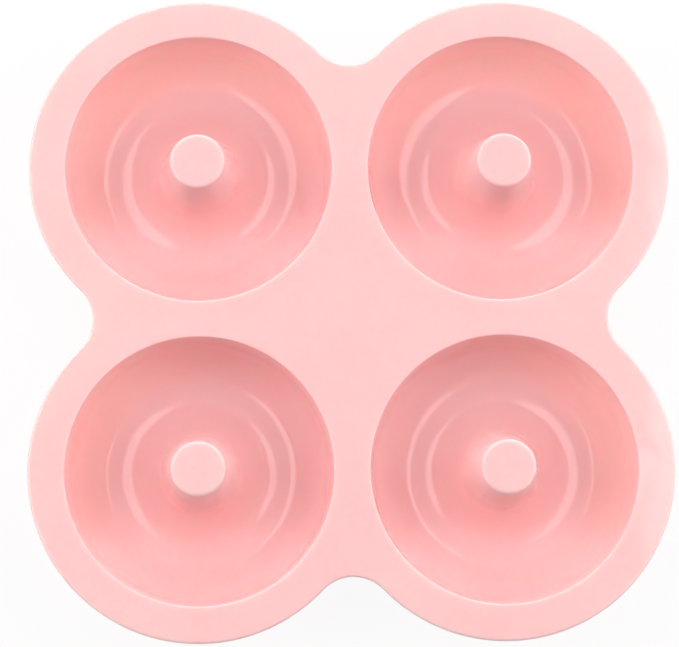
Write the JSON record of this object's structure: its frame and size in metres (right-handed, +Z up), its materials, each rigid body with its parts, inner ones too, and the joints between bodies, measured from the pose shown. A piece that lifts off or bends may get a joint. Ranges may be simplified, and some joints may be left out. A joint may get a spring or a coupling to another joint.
{
  "type": "silicone ring mould",
  "caption": "Flexible baking mould: a four-lobed flat deck with round troughs, each around a hollow tapered centre post.",
  "frame": {"origin": "centre of the bounding box, on the surface that the cups rest on", "axes": "+Z up out of the mouths, +X to the right and +Y to the back"},
  "size_m": [0.2406, 0.2406, 0.0501],
  "materials": {
    "silicone": "soft satin pink silicone, the same all over"
  },
  "bodies": {
    "root": {"deck": "silicone", "cup_back_left": "silicone", "cup_back_right": "silicone", "cup_front_left": "silicone", "cup_front_right": "silicone", "post_back_left": "silicone", "post_back_right": "silicone", "post_front_left": "silicone", "post_front_right": "silicone"}
  },
  "joints": []
}
